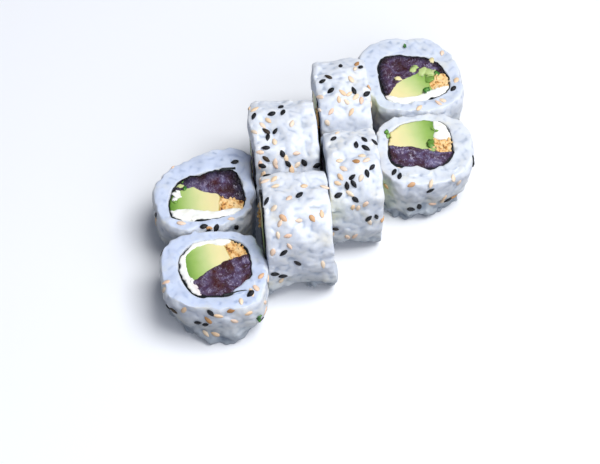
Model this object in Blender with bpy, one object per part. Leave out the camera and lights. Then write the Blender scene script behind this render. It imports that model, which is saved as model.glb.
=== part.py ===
"""Uramaki roll: one inside-out roll cut into eight slices and set out in four pairs.

Every slice is a thick uneven ring of rice, a thin ring of seaweed inside it and, within that,
four fillings that run the whole thickness of the slice: tuna, avocado, cream cheese and crisp
crumbs.  The two outer pairs stand on a cut face, so the other cut face looks up.  The two
middle pairs lie on their rice, with their cut faces towards the outer pairs.

Frame: +X runs along the axis of the lying slices, +Y is away from the viewer and +Z is up.
The origin is on the surface that the slices stand on, under the middle of the whole set.
Sizes are in millimetres, and MM turns them into Blender's metres.
"""
import math
from collections import namedtuple

import bmesh
import bpy
import numpy as np
from mathutils import Matrix, Vector

MM = 0.001

# Driving dimensions, in millimetres.
GAP = 0.3                # clear space kept between pieces that touch
NORI_THICKNESS = 0.6     # the soaked seaweed sheet, doubled where it overlaps
EDGE_DROP = 0.8          # how far the rice's outline draws in at a cut face
EDGE_DEPTH = 0.13        # share of the thickness over which it draws in
BASE_TUCK = 0.9          # how much more it draws in at the base of a standing slice
UNEVEN = 0.9             # depth from the swells of the rice to the hollows between them
SWELL = 0.3              # how much of that stands out past the outline's stated size
THIN_WALL = 2.0          # the least that the rice is thick, where the core lies off centre
SAG = 0.7                # how far a lying slice flattens where it rests
SQUARENESS = 2.8         # exponent of the outline: 2 is an ellipse, more is squarer
AROUND = 36              # points round each ring
LINE_STEP = 2.2          # spacing of the points along the lines between fillings
FACE_RISE = {"tuna": 0.2, "avocado": 0.0, "cream_cheese": 0.3, "crunch": -0.4}

# Colours are linear RGB, followed by roughness.
FINISHES = {
    "rice": ((0.74, 0.77, 0.84), 0.45),
    "nori": ((0.010, 0.016, 0.014), 0.50),
    "tuna": ((0.095, 0.028, 0.045), 0.28),
    "avocado": ((0.50, 0.66, 0.20), 0.40),
    "cream_cheese": ((0.92, 0.92, 0.88), 0.45),
    "crunch": ((0.70, 0.46, 0.19), 0.70),
}

# How a cut face is laid out, looking at it.  "core" is the outline of everything inside the
# seaweed, anticlockwise.  Each of the lines that follow runs right across what is left of the
# core, and parts off the filling on its left; the last filling is what remains.
CUT_FACES = {
    "tuna_low_right": {
        "core": [(-11.4, 3.0), (-9.7, -5.6), (-5.2, -11.6), (1.5, -12.2), (8.6, -11.4),
                 (13.4, -4.5), (13.8, 3.0), (12.4, 9.5), (7.5, 12.6), (0.0, 13.4), (-8.0, 10.6)],
        "lines": [
            ("cream_cheese", [(-3.6, -16.0), (-5.0, -8.6), (-8.6, -3.5), (-9.5, 3.0),
                              (-8.0, 8.6), (-2.0, 11.8), (6.5, 11.0), (10.0, 16.0)]),
            ("tuna", [(18.0, 7.0), (11.3, 4.2), (6.0, 3.2), (-1.6, -1.7), (-5.0, -4.2),
                      (-11.0, -7.5)]),
            ("avocado", [(8.0, 0.0), (6.8, 5.0), (5.6, 10.0), (5.0, 16.0)])],
        "rest": "crunch"},
    "tuna_high": {
        "core": [(-12.4, -9.0), (-9.5, -12.9), (-2.0, -13.3), (6.5, -12.3), (13.4, -10.4),
                 (15.4, -5.0), (14.9, 2.0), (12.4, 9.6), (8.0, 10.4), (2.1, 8.9), (-5.0, 7.6),
                 (-9.4, 4.6), (-11.6, -1.0)],
        "lines": [
            ("tuna", [(-18.0, 1.0), (-7.7, 1.6), (-3.5, 3.0), (3.0, 0.2), (9.5, -3.2),
                      (19.0, -6.5)]),
            ("cream_cheese", [(19.0, -9.0), (8.5, -9.7), (2.0, -9.6), (-6.0, -8.6),
                              (-18.0, -8.0)]),
            ("avocado", [(5.6, -16.0), (5.8, -7.0), (6.3, -3.0), (5.5, 4.0)])],
        "rest": "crunch"},
    "tuna_high_left": {
        "core": [(-13.3, 0.5), (-12.2, -10.2), (-7.6, -14.2), (2.3, -13.3), (11.8, -10.0),
                 (13.6, -5.0), (12.7, 1.8), (8.1, 8.4), (1.0, 10.2), (-8.0, 11.8), (-12.6, 8.4)],
        "lines": [
            ("tuna", [(-17.0, -14.0), (-10.2, -8.3), (-7.7, -3.8), (-0.8, 0.5), (4.0, 2.0),
                      (9.0, 1.0), (19.0, 2.0)]),
            ("cream_cheese", [(19.0, -5.5), (11.0, -7.6), (2.7, -10.3), (-1.5, -11.6),
                              (-6.0, -11.8), (-18.0, -8.0)]),
            ("avocado", [(7.8, -16.0), (6.2, -6.1), (7.2, -1.5), (6.5, 4.5)])],
        "rest": "crunch"},
    "tuna_low": {
        "core": [(-14.2, -4.0), (-11.8, -8.2), (-5.0, -9.7), (0.5, -10.5), (5.6, -8.7),
                 (9.5, -4.0), (10.1, 4.0), (9.6, 10.6), (6.1, 13.4), (-1.0, 14.4),
                 (-8.5, 12.8), (-13.0, 8.0), (-14.2, 2.0)],
        "lines": [
            ("tuna", [(16.0, -3.0), (10.0, -3.0), (4.4, -2.8), (1.0, -1.0), (-6.5, 1.0),
                      (-19.0, 2.4)]),
            ("avocado", [(0.8, -5.0), (3.0, 3.0), (4.8, 8.5), (4.0, 19.0)]),
            ("cream_cheese", [(-1.0, 5.2), (4.7, 5.0), (10.1, 4.0), (16.0, 3.5)])],
        "rest": "crunch"},
}

# The slices, pair by pair from left to right, the nearer of each pair first.  x and y are the
# middle of the slice; width, depth and twist are its outline's; corners add fullness at the
# outline's four corners, in mm, starting at its right far one and going anticlockwise.
Slice = namedtuple("Slice", "number stands x y width depth thickness twist corners face mirrored")
SLICES = (
    Slice(1, True, -40.8, -40.2, 38.8, 36.4, 21.0, 0, (0.5, 0.0, -1.4, 2.2),
          "tuna_low_right", False),
    Slice(2, True, -42.2, -3.5, 38.2, 35.6, 21.0, 8, (3.8, -2.4, -0.2, -0.4),
          "tuna_high", False),
    Slice(3, False, -8.3, -21.6, 36.8, 38.2, 24.2, 0, (-0.3, 0.4, 2.6, 0.0),
          "tuna_low", False),
    Slice(4, False, -9.3, 15.7, 36.0, 37.4, 24.2, 0, (0.0, -0.3, 0.0, 0.4),
          "tuna_high", True),
    Slice(5, False, 14.6, -2.9, 36.6, 38.0, 20.0, 0, (0.0, -0.4, 2.8, 0.3),
          "tuna_high_left", True),
    Slice(6, False, 15.0, 34.4, 36.2, 37.8, 19.8, 0, (0.2, -0.3, 0.3, 0.0),
          "tuna_low_right", True),
    Slice(7, True, 45.0, 10.5, 38.4, 36.0, 21.0, 0, (0.8, 0.4, 0.8, -1.6),
          "tuna_low", False),
    Slice(8, True, 45.3, 49.4, 39.0, 39.4, 21.0, 0, (-0.8, 2.6, 0.0, 0.2),
          "tuna_high_left", False),
)


# ---------------------------------------------------------------- outlines in the cut's plane

def spline(points, closed, step=LINE_STEP):
    """A smooth Catmull-Rom curve through the points, sampled about every step millimetres."""
    count = len(points)
    spans = count if closed else count - 1
    curve = []
    for span in range(spans):
        p = [np.array(points[(span + k) % count] if closed
                      else points[min(max(span + k, 0), count - 1)]) for k in (-1, 0, 1, 2)]
        samples = max(2, round(np.linalg.norm(p[2] - p[1]) / step))
        for t in np.arange(samples) / samples:
            curve.append(0.5 * (2 * p[1] + (p[2] - p[0]) * t
                                + (2 * p[0] - 5 * p[1] + 4 * p[2] - p[3]) * t ** 2
                                + (3 * p[1] - p[0] - 3 * p[2] + p[3]) * t ** 3))
    if not closed:
        curve.append(np.array(points[-1]))
    return np.array(curve)


def evenly_round(curve, count):
    """The closed curve read again at equal angles about its middle, anticlockwise."""
    middle = curve.mean(axis=0)
    spokes = curve - middle
    angle = np.arctan2(spokes[:, 1], spokes[:, 0])
    order = np.argsort(angle)
    wanted = np.linspace(-math.pi, math.pi, count, endpoint=False)
    radius = np.interp(wanted, angle[order], np.hypot(*spokes.T)[order], period=2 * math.pi)
    return middle + np.stack([radius * np.cos(wanted), radius * np.sin(wanted)], axis=1)


def grown(loop, distance):
    """The loop moved outwards by a distance, or inwards by a negative one, corner by corner."""
    loop = np.array(loop)
    while True:
        ahead = np.roll(loop, -1, axis=0) - loop
        ahead /= np.linalg.norm(ahead, axis=1)[:, None]
        behind = np.roll(ahead, 1, axis=0)
        out = np.stack([ahead[:, 1] + behind[:, 1], -ahead[:, 0] - behind[:, 0]], axis=1)
        sharp = np.maximum((1 + (ahead * behind).sum(axis=1)), 0.25)
        moved = loop + distance * out / sharp[:, None]
        turned = ((np.roll(moved, -1, axis=0) - moved) * ahead).sum(axis=1) < 0.1
        if not turned.any():
            return moved
        loop = np.delete(loop, int(np.argmax(turned)), axis=0)


def split(loop, line):
    """The loop cut in two where the line crosses it: the part on the line's left, and the rest."""
    hits = []
    for i in range(len(line) - 1):
        for j in range(len(loop)):
            along, edge = line[i + 1] - line[i], loop[(j + 1) % len(loop)] - loop[j]
            across = along[0] * edge[1] - along[1] * edge[0]
            if across == 0:
                continue
            gap = loop[j] - line[i]
            s = (gap[0] * edge[1] - gap[1] * edge[0]) / across
            t = (gap[0] * along[1] - gap[1] * along[0]) / across
            if 0 <= s < 1 and 0 <= t < 1:
                hits.append((i + s, j + t, line[i] + s * along))
    hits.sort(key=lambda hit: hit[0])
    (enter, first, entry), (leave, last, exit_point) = hits[0], hits[-1]
    inside = [line[k] for k in range(math.ceil(enter), math.floor(leave) + 1)]

    def boundary(start, end):
        """The loop's own corners, going anticlockwise from one place on it to another."""
        steps = (math.floor(end) - math.floor(start)) % len(loop)
        return [loop[(math.floor(start) + 1 + k) % len(loop)] for k in range(steps)]

    left = [entry, *inside, exit_point, *boundary(last, first)]
    right = [exit_point, *inside[::-1], entry, *boundary(first, last)]
    return np.array(left), np.array(right)


def thinned(loop, closest=0.55):
    """The loop without corners that lie almost on the one before."""
    kept = [loop[0]]
    for point in loop[1:]:
        if np.linalg.norm(point - kept[-1]) > closest:
            kept.append(point)
    if np.linalg.norm(kept[0] - kept[-1]) <= closest:
        kept.pop()
    return np.array(kept)


def cut_face(piece):
    """The outline of a slice's core and of each filling in it."""
    face = CUT_FACES[piece.face]
    flip = np.array([-1 if piece.mirrored else 1, 1])
    turn = -1 if piece.mirrored else 1
    core = evenly_round(spline([np.array(p) * flip for p in face["core"]][::turn], True), AROUND)
    fillings, left_over = {}, core
    for name, points in face["lines"]:
        line = spline([np.array(p) * flip for p in points][::turn], False)
        fillings[name], left_over = split(left_over, line)
    fillings[face["rest"]] = left_over
    return core, {name: grown(thinned(loop), -GAP / 2) for name, loop in fillings.items()}


def wobble(rng):
    """A smooth random unevenness, 0 to 1, over the angle round a slice and the level up it."""
    waves = [(k, rng.uniform(0, 2 * math.pi), rng.uniform(-2, 2)) for k in (2, 3, 5, 7, 10)]

    def at(angle, level):
        total = sum(np.cos(k * angle + phase + drift * level) for k, phase, drift in waves)
        return 0.5 + 0.5 * total / len(waves)
    return at


def rice_outline(piece, well, drawn_in, level, uneven):
    """The outer edge of the rice round its well, drawn in from its fullest outline."""
    angle = np.arctan2(well[:, 1], well[:, 0])
    twisted = angle - math.radians(piece.twist)
    cosine, sine = np.abs(np.cos(twisted)), np.abs(np.sin(twisted))
    reach = ((cosine / (piece.width / 2)) ** SQUARENESS
             + (sine / (piece.depth / 2)) ** SQUARENESS) ** (-1 / SQUARENESS)
    for k, fullness in enumerate(piece.corners):
        toward = np.cos(angle - math.radians(45 + 90 * k))
        reach = reach + fullness * np.maximum(toward, 0) ** 6
    reach = reach - drawn_in + SWELL - UNEVEN * uneven(angle, level)
    reach = np.maximum(reach, np.hypot(*well.T) + THIN_WALL)
    loop = np.stack([reach * np.cos(angle), reach * np.sin(angle)], axis=1)
    if not piece.stands:
        loop[:, 1] = np.maximum(loop[:, 1], SAG - piece.depth / 2)
    return loop


# ---------------------------------------------------------------- solids

def finish(name):
    """The Principled material of one kind of food."""
    label = name.replace("_", " ")
    if label in bpy.data.materials:
        return bpy.data.materials[label]
    colour, roughness = FINISHES[name]
    material = bpy.data.materials.new(label)
    material.use_nodes = True
    shader = material.node_tree.nodes["Principled BSDF"]
    shader.inputs["Base Color"].default_value = (*colour, 1)
    shader.inputs["Roughness"].default_value = roughness
    shader.inputs["Metallic"].default_value = 0
    return material


def place(piece):
    """The empty that carries a slice: its local XY is the cut's plane, and its Z the roll's axis."""
    holder = bpy.data.objects.new(f"slice_{piece.number}", None)
    bpy.context.collection.objects.link(holder)
    if piece.stands:
        turned, height = Matrix.Identity(4), 0.0
    else:
        # Local X, Y and Z become the world's Y, Z and X, and the slice lies on its rice.
        turned = Matrix(((0, 0, 1), (1, 0, 0), (0, 1, 0))).to_4x4()
        height = piece.depth / 2 - SAG
    spot = Vector((piece.x, piece.y, height)) * MM
    holder.matrix_world = Matrix.Translation(spot) @ turned
    return holder


def add_object(name, kind, holder, vertices, faces):
    """A closed solid, in the frame of the slice that holds it."""
    mesh = bpy.data.meshes.new(name)
    mesh.from_pydata([tuple(v * MM for v in vertex) for vertex in vertices], [], faces)
    solid = bmesh.new()
    solid.from_mesh(mesh)
    bmesh.ops.recalc_face_normals(solid, faces=solid.faces)
    solid.to_mesh(mesh)
    solid.free()
    mesh.materials.append(finish(kind))
    item = bpy.data.objects.new(name, mesh)
    item.parent = holder
    bpy.context.collection.objects.link(item)
    return item


def add_ring(name, kind, holder, sections):
    """A ring whose wall runs through each section in turn and back to the first one."""
    around, count = len(sections[0]), len(sections)
    vertices = [tuple(point) for section in sections for point in section]
    faces = []
    for s in range(count):
        here, there = s * around, (s + 1) % count * around
        for i in range(around):
            j = (i + 1) % around
            faces.append((here + i, here + j, there + j, there + i))
    return add_object(name, kind, holder, vertices, faces)


def add_bar(name, kind, holder, loop, low, high):
    """A straight bar with the loop as its section, from one level to another."""
    around = len(loop)
    vertices = [(x, y, z) for z in (low, high) for x, y in loop]
    sides = [(i, (i + 1) % around, (i + 1) % around + around, i + around) for i in range(around)]
    ends = [tuple(range(around)), tuple(range(around, 2 * around))]
    return add_object(name, kind, holder, vertices, sides + ends)


def at_level(loop, level):
    """The loop's points with their level up the roll's axis added."""
    return [(x, y, level) for x, y in loop]


def add_slice(piece):
    """All six pieces of one slice."""
    holder = place(piece)
    low = 0.0 if piece.stands else -piece.thickness / 2
    high = low + piece.thickness
    core, fillings = cut_face(piece)

    sheet_inside, sheet_outside = GAP / 2, GAP / 2 + NORI_THICKNESS
    inside, outside = grown(core, sheet_inside), grown(core, sheet_outside)
    add_ring(f"nori_{piece.number}", "nori", holder, [
        at_level(inside, low), at_level(outside, low),
        at_level(outside, high), at_level(inside, high)])

    well = grown(core, sheet_outside + GAP)
    uneven = wobble(np.random.default_rng(piece.number))
    foot = EDGE_DROP + (BASE_TUCK if piece.stands else 0)
    levels = [(0.0, foot), (EDGE_DEPTH, foot * 0.3), (0.5, 0.0), (1 - EDGE_DEPTH, EDGE_DROP * 0.25),
              (1.0, EDGE_DROP)]
    wall = [at_level(rice_outline(piece, well, drawn_in, share, uneven), low + share * (high - low))
            for share, drawn_in in levels]
    add_ring(f"rice_{piece.number}", "rice", holder,
             [at_level(well, low), *wall, at_level(well, high)])

    for kind, loop in fillings.items():
        add_bar(f"{kind}_{piece.number}", kind, holder, loop, low, high + FACE_RISE[kind])


def centre_on_origin():
    """Moves the slices together until the origin is under the middle of the whole set."""
    bpy.context.view_layer.update()
    solids = [item for item in bpy.data.objects if item.type == "MESH"]
    corners = np.array([item.matrix_world @ v.co for item in solids for v in item.data.vertices])
    lowest, highest = corners.min(axis=0), corners.max(axis=0)
    middle = Vector(((lowest[0] + highest[0]) / 2, (lowest[1] + highest[1]) / 2, lowest[2]))
    for holder in bpy.data.objects:
        if holder.type == "EMPTY":
            holder.location -= middle


def main():
    for item in list(bpy.data.objects):
        bpy.data.objects.remove(item)
    for piece in SLICES:
        add_slice(piece)
    centre_on_origin()


main()
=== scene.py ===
"""Uramaki roll: the finish of eight slices of inside-out roll, set out in four pairs.

The CAD solids give every outline.  Each rice ring becomes a smaller core packed with real grains,
whose starch joins them into one skin.  The seaweed is a thin ragged sheet, the fillings are cut
blocks with their own flesh, and the seeds, crumbs and herbs are scattered as real pieces.

Slice frame, in millimetres: U and V lie in the cut's plane and W runs along the roll.
"""
import math

import bmesh
import bpy
import numpy as np
from mathutils import Matrix, Vector, geometry, noise


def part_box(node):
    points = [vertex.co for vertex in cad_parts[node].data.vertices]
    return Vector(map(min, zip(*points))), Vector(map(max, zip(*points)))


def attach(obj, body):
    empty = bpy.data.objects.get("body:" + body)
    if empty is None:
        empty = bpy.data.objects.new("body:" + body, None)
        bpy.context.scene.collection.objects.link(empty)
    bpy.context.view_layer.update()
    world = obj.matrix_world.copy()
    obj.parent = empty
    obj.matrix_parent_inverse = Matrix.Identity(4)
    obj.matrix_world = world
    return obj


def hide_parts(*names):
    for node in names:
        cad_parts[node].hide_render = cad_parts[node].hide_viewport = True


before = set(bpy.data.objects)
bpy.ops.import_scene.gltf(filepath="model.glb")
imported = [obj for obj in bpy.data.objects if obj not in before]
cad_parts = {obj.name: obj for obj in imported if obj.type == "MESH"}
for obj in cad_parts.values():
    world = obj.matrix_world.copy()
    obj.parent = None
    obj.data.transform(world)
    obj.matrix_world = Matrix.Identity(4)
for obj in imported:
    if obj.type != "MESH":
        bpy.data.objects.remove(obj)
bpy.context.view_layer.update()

MM = 0.001
SLICES = range(1, 9)
STANDING = (1, 2, 7, 8)

# Rice, in millimetres.
CORE_GRID = 0.9          # spacing of the core's surface
CORE_ROUNDS = 3          # how often it is relaxed
CORE_INSET = (0.15, 0.7)     # how far it lies under the rice's outline, high up and low down
CUT_INSET = 0.15         # how far it lies under a cut face
GRAIN_LENGTH, GRAIN_WIDTH = 5.8, 2.9
GRAIN_SPACING = 2.2
GRAIN_RISE = -0.45       # where a grain's middle lies, from the core's surface outwards
SKIN_GRID = 0.36         # spacing of the starchy skin over the grains
SKIN_ROUNDS = 4          # how often that skin is relaxed
LEVEL_ROUNDS = 36        # how often it is averaged to tell the grains from the swells
WALL_RELIEF = 0.27       # share of the grains' relief that the rolling mat leaves on the wall
CUT_RELIEF = 0.10        # share of a grain's height that the knife leaves on a cut face
LOW_RELIEF = 0.60        # share of either that is left low down, where the rice swells out
CUT_SWELL, CUT_SWELL_SIZE = 0.5, 6.0     # height and spacing of the swells of a cut face
RIM_STANDING, RIM_LYING = 2.1, 1.3       # how round the rims are: upright slices, lying ones
SMEAR, SMEAR_DEPTH = 0.35, 1.6   # share of a hollow's depth left by it, and how deep it reaches
SWELL, SWELL_SIZE = 1.0, 6.5     # height and spacing of the slow swells of the wall
LUMP, LUMP_SIZE, LUMP_TOP = 1.5, 4.2, 8.0    # lumps low down, and how high they reach
# Where the wall stands out or draws in, by slice: U, V, W, reach, and how far outwards.
PUSHES = {1: [(15, -14, 0, 6.5, -4.8), (-16, -12, 0, 10, -3.6), (-3, -19, 0, 6, 2.0),
              (6, -19, 0, 6, 2.4), (-19, 0, 17, 7, -0.7)],
          2: [(3, 19, 18, 9, 1.6), (14, 16, 18, 6, 2.2), (-10, 16, 18, 6, 0.5),
              (-17, -10, 0, 8, -1.5)],
          3: [(-15, -15, 9, 8, -1.7), (-15, -15, 17, 8, -1.5), (-16, -13, 0, 5, 2.2),
              (-14, -9, 21, 6, 0.8)],
          5: [(-15, -15, 6, 8, -1.0), (-15, -15, 14, 8, -0.8)],
          7: [(17, -9, 0, 9, -5.0), (9, -16, 0, 6, -2.0), (-15, -14, 0, 6, 1.8),
              (19, -2, 12, 9, -1.2)],
          8: [(-15, 14, 14, 6, 2.8), (-4, 19, 18, 6, 2.1), (8, 19, 18, 7, 2.3),
              (18, -6, 8, 8, 0.8)]}
# Where a cut face stands out: U, V, 1 for the face at high W or -1 for the other, reach, how far.
BULGES = {3: [(-13, -11, 1, 6, 2.4)], 4: [(2, 16, -1, 9, 1.6)], 6: [(4, 12, -1, 9, 2.2)]}
SLIDE = 5.0              # how far in from its rim a cut face follows the wall
# The rice is painted with shade in its hollows, darkest where they are deepest.
HOLLOW_SHADE_DEPTH = 0.8       # depth over which the rice's colour goes from ridge to hollow
# Grains pressed over the edge of the fillings, by slice, in U and V.
STRAY_GRAINS = {1: [(8.8, -9.9), (10.4, -9.0), (12.2, -8.0), (12.0, -9.6)],
                7: [(-9.3, -10.6), (-7.2, -11.4), (-4.6, -10.9), (-2.0, -11.8), (8.4, -10.4)]}
STRAY_REACH = 2.7        # how far a stray grain spreads over what it lies on
STRAY_RISE = 0.6         # how far it stands over the cut face
STRAY_DEPTH = 0.5        # how deep its middle lies under that face

# Seaweed, in millimetres.
SHEET_THIN, SHEET_THICK = 0.30, 0.55
SHEET_ROWS = 9           # rows of points up its side
SHEET_PROUD = 0.06       # how far its ragged edge stands over a cut face
SHEET_EDGE = 0.1         # how far down that edge is rounded off
SHEET_TIGHT = 0.3        # how far the rice presses it in from its solid's outer side
BEND, BEND_SIZE = 0.45, 4.5      # how far the core of a slice strays from its solids, and how fast
SHEET_SUNK = 1.2         # how far it lies under the face where rice and filling close over it
RICE_OVER = 0.35         # how far the rice then comes in over it
WELL_SPARE = 0.5         # how much further the core reaches in, before it is pressed on the sheet
SHEET_FOLDED = 0.5       # how much thicker it is where it is folded
RAGGED = {"sheet": 0.26, "filling": 0.18}    # how far outlines stray at random
RAGGED_SIZE = 1.6        # over which distance
# Where they do and where it is, by slice: arcs of the cut face, in degrees anticlockwise from U.
COVERED = {1: [(62, 128)], 2: [(236, 258), (296, 330)], 7: [(62, 178), (228, 300)],
           8: [(225, 296)]}
FOLDED = {1: [(22, 52)], 2: [(40, 75), (150, 172)], 7: [(198, 224)], 8: [(118, 166)]}
TAIL_THICKNESS, TAIL_PROUD = 0.45, 1.15
# Where the sheet's loose end runs out into the rice, by slice, in U and V.
TAILS = {1: [(3.0, -12.2), (6.0, -11.6), (9.0, -11.0), (11.5, -10.9), (13.7, -11.6)],
         2: [(6.6, 8.7), (8.4, 9.2), (10.4, 9.3), (12.7, 9.3)]}

# Fillings, in millimetres: height and spacing of the relief of the cut face, how round its
# edges are, and how far the filling presses past its solid to touch its neighbours.
FLESH = {"tuna": (0.22, 2.2, 0.25, 0.62),
         "avocado": (0.06, 5.0, 0.30, 0.45),
         "cream_cheese": (0.25, 2.6, 0.35, 0.62),
         "crunch": (0.40, 1.8, 0.45, 0.45)}
STAIN = 1.3              # how far the tuna stains the cheese beside it
REACH = 1.7              # how near the seaweed a filling is pressed against it
FLESH_PROUD = 0.7        # how far the fillings of a lying slice bulge from its left face
CAP_GRID = 0.5           # spacing of the points on a cut face and round it
CAP_JITTER = 0.2         # share of that spacing by which a point strays from its lattice
CAP_CLEAR = 0.45         # share of it that the points stay away from the outline
KNOT_STEPS = 12          # how many of them a knot in an outline can take up
SIDE_STEP = 3.0          # spacing of the points down the sides

# The way from an avocado's skin side to its stone side, in degrees anticlockwise from U.
RIPENS = {1: 8, 2: 5, 3: 10, 4: 175, 5: 325, 6: 352, 7: 190, 8: 215}

# Seeds: length, width and thickness in millimetres, and how far they stand off the rice.
SESAME = (3.6, 2.1, 1.0)
SEED_RISE = {"black": 0.22, "toasted": 0.02}
# Where they gather on the sides that show, by slice: degrees anticlockwise from U, W, how wide
# a patch is, and how many black and toasted seeds fell there.
PATCHES = {
    1: [(193, 20, 1.8, 0, 2), (212, 15, 3.0, 2, 0), (229, 20, 1.2, 0, 1), (240, 12, 3.5, 2, 0),
        (267, 18, 2.2, 1, 2), (266, 7, 1.6, 0, 2), (295, 18, 3.2, 0, 4), (315, 18, 2.6, 2, 3),
        (316, 8, 2.6, 1, 2), (340, 20, 1.4, 0, 1)],
    2: [(50, 20, 1.0, 1, 0), (138, 17, 3.0, 0, 3), (197, 12, 1.5, 0, 1), (206, 15.5, 1.5, 2, 2),
        (232, 15.5, 1.7, 2, 5), (263, 18, 1.8, 1, 1), (279, 19, 1.5, 2, 1), (311, 18, 1.8, 2, 1),
        (329, 14, 2.4, 2, 1)],
    3: [(44, 2, 3.0, 1, 3), (42, 15, 1.5, 0, 1), (66, 2, 2.0, 0, 2), (80, 20, 2.4, 0, 2),
        (90, 12, 3.0, 1, 1), (110, 2, 3.0, 2, 2), (114, 19, 1.4, 0, 2), (132, 8, 2.8, 0, 5),
        (157, 5, 1.8, 1, 1), (176, 12, 2.2, 1, 1), (204, 5, 2.0, 2, 1)],
    4: [(66, 3, 2.8, 2, 1), (80, 12, 2.0, 1, 1), (88, 2, 2.2, 0, 3), (101, 5, 2.5, 4, 1),
        (118, 5, 2.6, 1, 2), (132, 15, 1.4, 0, 1), (140, 3, 2.8, 3, 3), (141, 11, 2.2, 1, 4),
        (140, 19, 2.6, 2, 0)],
    5: [(48, 5, 1.8, 0, 2), (65, 3, 1.2, 1, 0), (80, 15, 1.5, 4, 0), (104, 11, 3.2, 1, 5),
        (121, 11, 2.2, 3, 1), (121, 3, 2.4, 0, 2), (135, 7, 2.4, 3, 1), (150, 11, 1.8, 0, 3),
        (180, 17, 2.0, 2, 2), (193, 5, 3.2, 1, 2), (199, 14, 2.4, 1, 1)],
    6: [(66, 15, 3.2, 1, 4), (83, 4, 1.6, 2, 0), (88, 12, 3.6, 1, 1), (104, 18, 1.4, 1, 1),
        (106, 4, 2.4, 1, 2), (118, 11, 2.2, 1, 4), (126, 16, 1.8, 0, 2), (130, 8, 3.2, 0, 3)],
    7: [(215, 13, 1.4, 0, 1), (222, 20, 1.2, 2, 0), (238, 20, 1.2, 0, 1), (248, 7, 1.5, 2, 0),
        (267, 17, 1.8, 1, 1), (270, 8, 2.4, 0, 2), (292, 8, 2.0, 1, 2), (292, 20, 1.2, 0, 1),
        (308, 18, 1.4, 0, 1), (340, 18, 1.4, 2, 0)],
    8: [(39, 20, 1.2, 0, 1), (245, 19, 1.2, 1, 0), (279, 20, 1.4, 0, 1), (302, 20, 1.4, 0, 2),
        (314, 19, 1.6, 2, 0), (332, 20, 1.4, 1, 0), (342, 19, 2.4, 0, 2)]}
PATCH_RADIUS = 18.0      # where a patch lies, from the middle of a slice
PATCH_SEED = 11
SEED_SPACING = 2.4       # how far apart the middles of two seeds stay
PATCH_TRIES = 8          # how often a seed is moved to keep that distance
BED_REACH = 1.4          # how far round a seed or scrap the surface counts that it lies on
# On the sides turned away they are strewn: the most there are per square metre, the share of
# that for each kind, how far from the middle of a slice its wall is at least, and how high they
# stay over what the slice rests on.
MOST_SEEDS = 2.0e5
STREWN_SEEDS = {"black": 0.035, "toasted": 0.05}
WALL_FROM, STREWN_FROM = 14.0, 3.0

HERB_POINTS = 14         # points round a herb scrap's ragged edge
HERB_HALF = 0.12         # half its thickness
HERB_LIFT, LUMP_LIFT = 0.5, 0.15     # how high the middle of a scrap or a lump of mash lies

# Scraps of herb, by slice: U, V, W, length, and turn in degrees.  Those on a cut face lie at W 21.
HERBS = {1: [(15.6, -16.6, 12.5, 3.2, 70)],
         2: [(-7.1, 1.0, 21, 2.0, 30)],
         7: [(-14.1, 9.0, 21, 2.6, 50)],
         8: [(4.6, -9.2, 21, 3.8, 20), (10.2, -0.3, 21, 2.8, 130), (-0.6, 16.1, 21, 1.9, 80)]}
# Lumps of mashed avocado on the cut faces, by slice: U, V, width, and 0 for green to 1 for yellow.
MASH = {2: [(-8.8, 2.4, 1.8, 0.5), (-7.6, 3.9, 1.1, 0.0), (-10.9, -5.2, 1.3, 0.1)],
        7: [(2.2, 2.4, 2.3, 0.02), (2.4, 0.5, 2.2, 0.02), (5.6, 8.4, 1.3, 0.1),
            (4.0, 9.5, 1.3, 0.1), (2.8, -1.4, 1.7, 0.3), (-13.6, 7.4, 1.5, 0.1)],
        8: [(2.0, 4.0, 2.1, 0.35), (4.2, 1.4, 3.2, 0.42), (6.7, 0.8, 3.6, 0.4),
            (8.5, 1.0, 2.4, 0.5), (7.2, -1.3, 3.0, 0.3), (-5.3, -1.5, 2.4, 0.9),
            (8.9, 7.2, 2.0, 0.9), (6.2, -3.4, 3.0, 0.1), (0.9, 2.4, 2.4, 0.4)]}
# Lumps of cheese dragged the same way.
DRAGGED = {1: [(-8.4, -3.6, 1.2), (-7.6, -4.9, 1.3)],
           2: [(-10.1, -2.2, 2.6), (-10.9, -3.8, 1.8), (-9.6, -0.6, 1.5)]}
# Blood and fat in the tuna, by slice: U, V, reach, and -1 for blood to 1 for fat.
TUNA_SPOTS = {1: [(6.8, -0.1, 1.3, -1), (0.6, -1.2, 1.7, -1), (0.8, -5.0, 1.8, -0.7),
                  (1.8, -8.0, 2.2, -0.9), (11.5, -6.0, 1.8, -0.8)],
              2: [(4.5, 3.0, 1.8, -0.9), (6.2, -1.3, 1.6, -0.8), (0.0, 5.0, 3.0, -0.3),
                  (11.9, 0.3, 0.8, 0.9), (13.0, -3.8, 1.2, 0.8)],
              7: [(-10.2, 0.3, 1.4, 0.7), (-6.2, -3.6, 1.6, 0.9), (-5.0, -1.2, 1.2, 0.7),
                  (2.6, -4.6, 1.0, 0.6), (-2.0, 0.2, 0.9, 0.6)],
              8: [(-8.5, 3.0, 2.4, -0.5), (-10.0, 0.5, 1.5, 0.4), (-5.5, -3.0, 1.4, 0.5)]}

# How far from the seaweed the tuna is dark, by slice, in millimetres.
DARK_EDGES = {1: 1.2, 2: 6.5, 7: 1.6, 8: 4.0}

# How much bluish painted shade each cut face gets: 1 the most.
PAINTED_CUT_SHADES = {1: 1.0, 2: 0.9, 7: 0.25, 8: 0.6}

# The way back to the camera: degrees anticlockwise from -Y seen from above, and above level.
VIEW_TURN, VIEW_RISE = -5.32, 51.42
# What it looks at, in millimetres, how far off it is, in metres, and its lens, in millimetres.
LOOK_AT = (-7.56, -14.89, 0.0)
VIEW_DISTANCE, LENS = 0.6229, 96.72
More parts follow.
